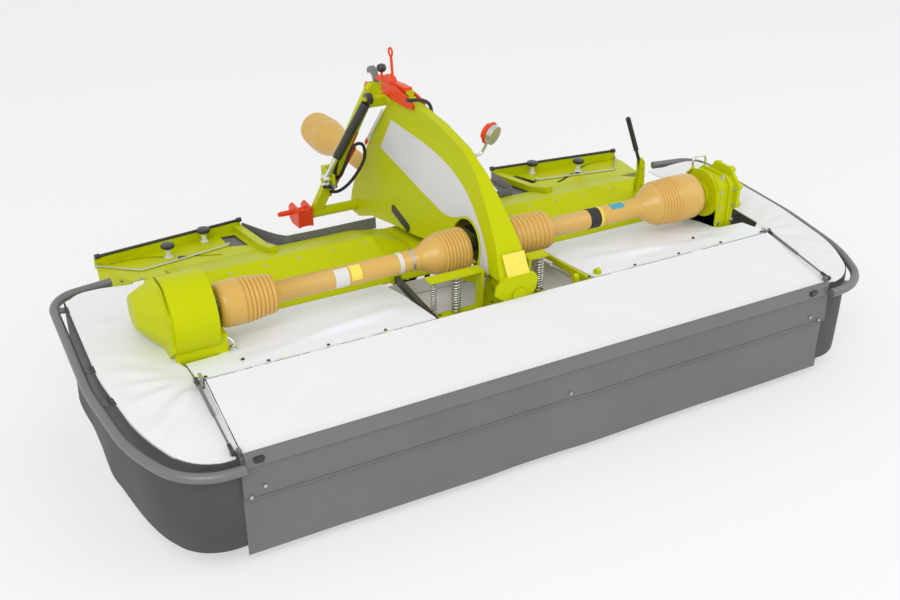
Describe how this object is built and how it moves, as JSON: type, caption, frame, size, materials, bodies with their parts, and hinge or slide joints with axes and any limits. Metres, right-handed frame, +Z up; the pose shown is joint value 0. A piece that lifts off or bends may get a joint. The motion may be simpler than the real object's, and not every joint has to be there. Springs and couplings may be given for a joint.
{
  "type": "front-mounted disc mower conditioner",
  "caption": "Wide front mower with a row of cutting discs, a tined conditioning rotor under a steel hood, tarpaulin covers and skirts, an arched boom and a tractor headstock",
  "frame": {"origin": "on the floor under the middle of the machine's bounding box", "axes": "X across the machine to its right as seen from the tractor's seat side of the picture, Y from the front curtain back to the tractor, Z up"},
  "size_m": [3.5986, 2.7749, 1.366],
  "materials": {
    "lime": "gloss",
    "steel": "satin",
    "dark_steel": "satin",
    "grey_tube": "satin",
    "tarp": "coated",
    "skirt": "coated",
    "rubber": "matte",
    "amber": "gloss",
    "red": "gloss",
    "chrome": "polished"
  },
  "bodies": {
    "deck": {"deck_frame": "lime", "cutterbar": "steel", "skids": "steel", "hood": "lime", "rear_flap": "rubber", "swath_plate_left": "lime", "swath_plate_right": "lime", "board_posts": "lime", "swath_clamps": "dark_steel", "drive_housing": "lime", "angle_gearbox": "lime", "cross_shaft_left": "amber", "cross_shaft_right": "amber", "hoop_left": "grey_tube", "hoop_right": "grey_tube", "side_skirt_left": "skirt", "side_skirt_right": "skirt", "side_tarp_left": "tarp", "side_tarp_right": "tarp", "deck_tarps": "tarp", "well_floor": "skirt", "boom_pivot": "lime", "strut_posts": "dark_steel", "support_springs": "chrome", "hand_lever": "lime", "stand_sleeves": "lime"},
    "front_cover": {"cover_frame": "grey_tube", "cover_tarp": "tarp", "front_curtain": "skirt"},
    "strut_tube_left": {"strut_tube_left": "dark_steel"},
    "strut_tube_right": {"strut_tube_right": "dark_steel"},
    "strut_rod_left": {"strut_rod_left": "steel"},
    "strut_rod_right": {"strut_rod_right": "steel"},
    "rotor": {"rotor": "dark_steel"},
    "boom": {"boom": "lime", "centre_gearbox": "dark_steel", "input_guard": "amber", "gauge": "steel", "latch": "red"},
    "input_shaft": {"input_shaft": "grey_tube"},
    "headstock": {"headstock_frame": "lime", "hitch_left": "red", "hitch_right": "red", "top_hitch": "red", "top_hook": "dark_steel"},
    "tilt_barrel": {"tilt_barrel": "dark_steel"},
    "tilt_ram": {"tilt_ram": "chrome"},
    "swath_board_left": {"swath_board_left": "lime"},
    "swath_board_right": {"swath_board_right": "lime"},
    "stand_left": {"stand_left": "steel"},
    "stand_right": {"stand_right": "steel"},
    "disc_1": {"disc_1": "steel"},
    "disc_2": {"disc_2": "steel"},
    "disc_3": {"disc_3": "steel"},
    "disc_4": {"disc_4": "steel"},
    "disc_5": {"disc_5": "steel"},
    "disc_6": {"disc_6": "steel"},
    "disc_7": {"disc_7": "steel"},
    "disc_8": {"disc_8": "steel"}
  },
  "joints": [
    {"name": "rotor_spin", "type": "hinge", "parent": "deck", "child": "rotor", "pos_m": [0, -0.2475, 0.285], "axis": [1, 0, 0], "continuous": true},
    {"name": "shaft_spin", "type": "hinge", "parent": "boom", "child": "input_shaft", "pos_m": [0, 1.0675, 0.64], "axis": [0, 1, 0], "continuous": true},
    {"name": "cover_hinge", "type": "hinge", "parent": "deck", "child": "front_cover", "pos_m": [0, -0.9305, 0.564], "axis": [-1, 0, 0], "range_deg": [0, 70]},
    {"name": "boom_roll", "type": "hinge", "parent": "deck", "child": "boom", "pos_m": [0, -0.8745, 0.582], "axis": [0, 1, 0], "range_deg": [-6, 6], "stiffness_Nm_per_rad": 4000},
    {"name": "headstock_tilt", "type": "hinge", "parent": "boom", "child": "headstock", "pos_m": [0, 0.5675, 0.47], "axis": [-1, 0, 0], "range_deg": [0, 10]},
    {"name": "tilt_barrel_hinge", "type": "hinge", "parent": "boom", "child": "tilt_barrel", "pos_m": [-0.12, 0.3175, 1.122], "axis": [-1, 0, 0], "range_deg": [-7.5, 1]},
    {"name": "tilt_ram_slide", "type": "slide", "parent": "tilt_barrel", "child": "tilt_ram", "axis": [-0.4402, 0.2054, -0.8741], "range_m": [-0.0135, 0.001]},
    {"name": "disc_1_spin", "type": "hinge", "parent": "deck", "child": "disc_1", "pos_m": [-1.4175, -0.8825, 0.112], "axis": [0, 0, 1], "continuous": true},
    {"name": "disc_2_spin", "type": "hinge", "parent": "deck", "child": "disc_2", "pos_m": [-1.0125, -0.8825, 0.112], "axis": [0, 0, 1], "continuous": true},
    {"name": "disc_3_spin", "type": "hinge", "parent": "deck", "child": "disc_3", "pos_m": [-0.6075, -0.8825, 0.112], "axis": [0, 0, 1], "continuous": true},
    {"name": "disc_4_spin", "type": "hinge", "parent": "deck", "child": "disc_4", "pos_m": [-0.2025, -0.8825, 0.112], "axis": [0, 0, 1], "continuous": true},
    {"name": "disc_5_spin", "type": "hinge", "parent": "deck", "child": "disc_5", "pos_m": [0.2025, -0.8825, 0.112], "axis": [0, 0, 1], "continuous": true},
    {"name": "disc_6_spin", "type": "hinge", "parent": "deck", "child": "disc_6", "pos_m": [0.6075, -0.8825, 0.112], "axis": [0, 0, 1], "continuous": true},
    {"name": "disc_7_spin", "type": "hinge", "parent": "deck", "child": "disc_7", "pos_m": [1.0125, -0.8825, 0.112], "axis": [0, 0, 1], "continuous": true},
    {"name": "disc_8_spin", "type": "hinge", "parent": "deck", "child": "disc_8", "pos_m": [1.4175, -0.8825, 0.112], "axis": [0, 0, 1], "continuous": true},
    {"name": "strut_left_hinge", "type": "hinge", "parent": "deck", "child": "strut_tube_left", "pos_m": [-1.42, -0.9085, 0.572], "axis": [-1, 0, 0], "range_deg": [-1, 69]},
    {"name": "strut_left_slide", "type": "slide", "parent": "strut_tube_left", "child": "strut_rod_left", "axis": [0, -0.9835, -0.1808], "range_m": [-0.02, 0.002]},
    {"name": "swath_board_left_swing", "type": "hinge", "parent": "deck", "child": "swath_board_left", "pos_m": [-1.18, 0.2025, 0.3], "axis": [0, 0, -1], "range_deg": [-15, 25]},
    {"name": "stand_left_slide", "type": "slide", "parent": "deck", "child": "stand_left", "axis": [0, 0, 1], "range_m": [0, 0.25]},
    {"name": "strut_right_hinge", "type": "hinge", "parent": "deck", "child": "strut_tube_right", "pos_m": [1.42, -0.9085, 0.572], "axis": [-1, 0, 0], "range_deg": [-1, 69]},
    {"name": "strut_right_slide", "type": "slide", "parent": "strut_tube_right", "child": "strut_rod_right", "axis": [0, -0.9835, -0.1808], "range_m": [-0.02, 0.002]},
    {"name": "swath_board_right_swing", "type": "hinge", "parent": "deck", "child": "swath_board_right", "pos_m": [1.18, 0.2025, 0.3], "axis": [0, 0, 1], "range_deg": [-15, 25]},
    {"name": "stand_right_slide", "type": "slide", "parent": "deck", "child": "stand_right", "axis": [0, 0, 1], "range_m": [0, 0.25]}
  ],
  "couplings": [
    {"joint": "shaft_spin", "follows": "rotor_spin", "ratio": 1.1},
    {"joint": "tilt_barrel_hinge", "follows": "headstock_tilt", "ratio": -0.6425},
    {"joint": "tilt_ram_slide", "follows": "headstock_tilt", "m_per_rad": -0.0693},
    {"joint": "disc_1_spin", "follows": "rotor_spin", "ratio": 3},
    {"joint": "disc_2_spin", "follows": "rotor_spin", "ratio": -3},
    {"joint": "disc_3_spin", "follows": "rotor_spin", "ratio": 3},
    {"joint": "disc_4_spin", "follows": "rotor_spin", "ratio": -3},
    {"joint": "disc_5_spin", "follows": "rotor_spin", "ratio": 3},
    {"joint": "disc_6_spin", "follows": "rotor_spin", "ratio": -3},
    {"joint": "disc_7_spin", "follows": "rotor_spin", "ratio": 3},
    {"joint": "disc_8_spin", "follows": "rotor_spin", "ratio": -3},
    {"joint": "strut_left_hinge", "follows": "cover_hinge", "ratio": 0.9568},
    {"joint": "strut_left_slide", "follows": "cover_hinge", "m_per_rad": -0.01335},
    {"joint": "strut_right_hinge", "follows": "cover_hinge", "ratio": 0.9568},
    {"joint": "strut_right_slide", "follows": "cover_hinge", "m_per_rad": -0.01335}
  ]
}
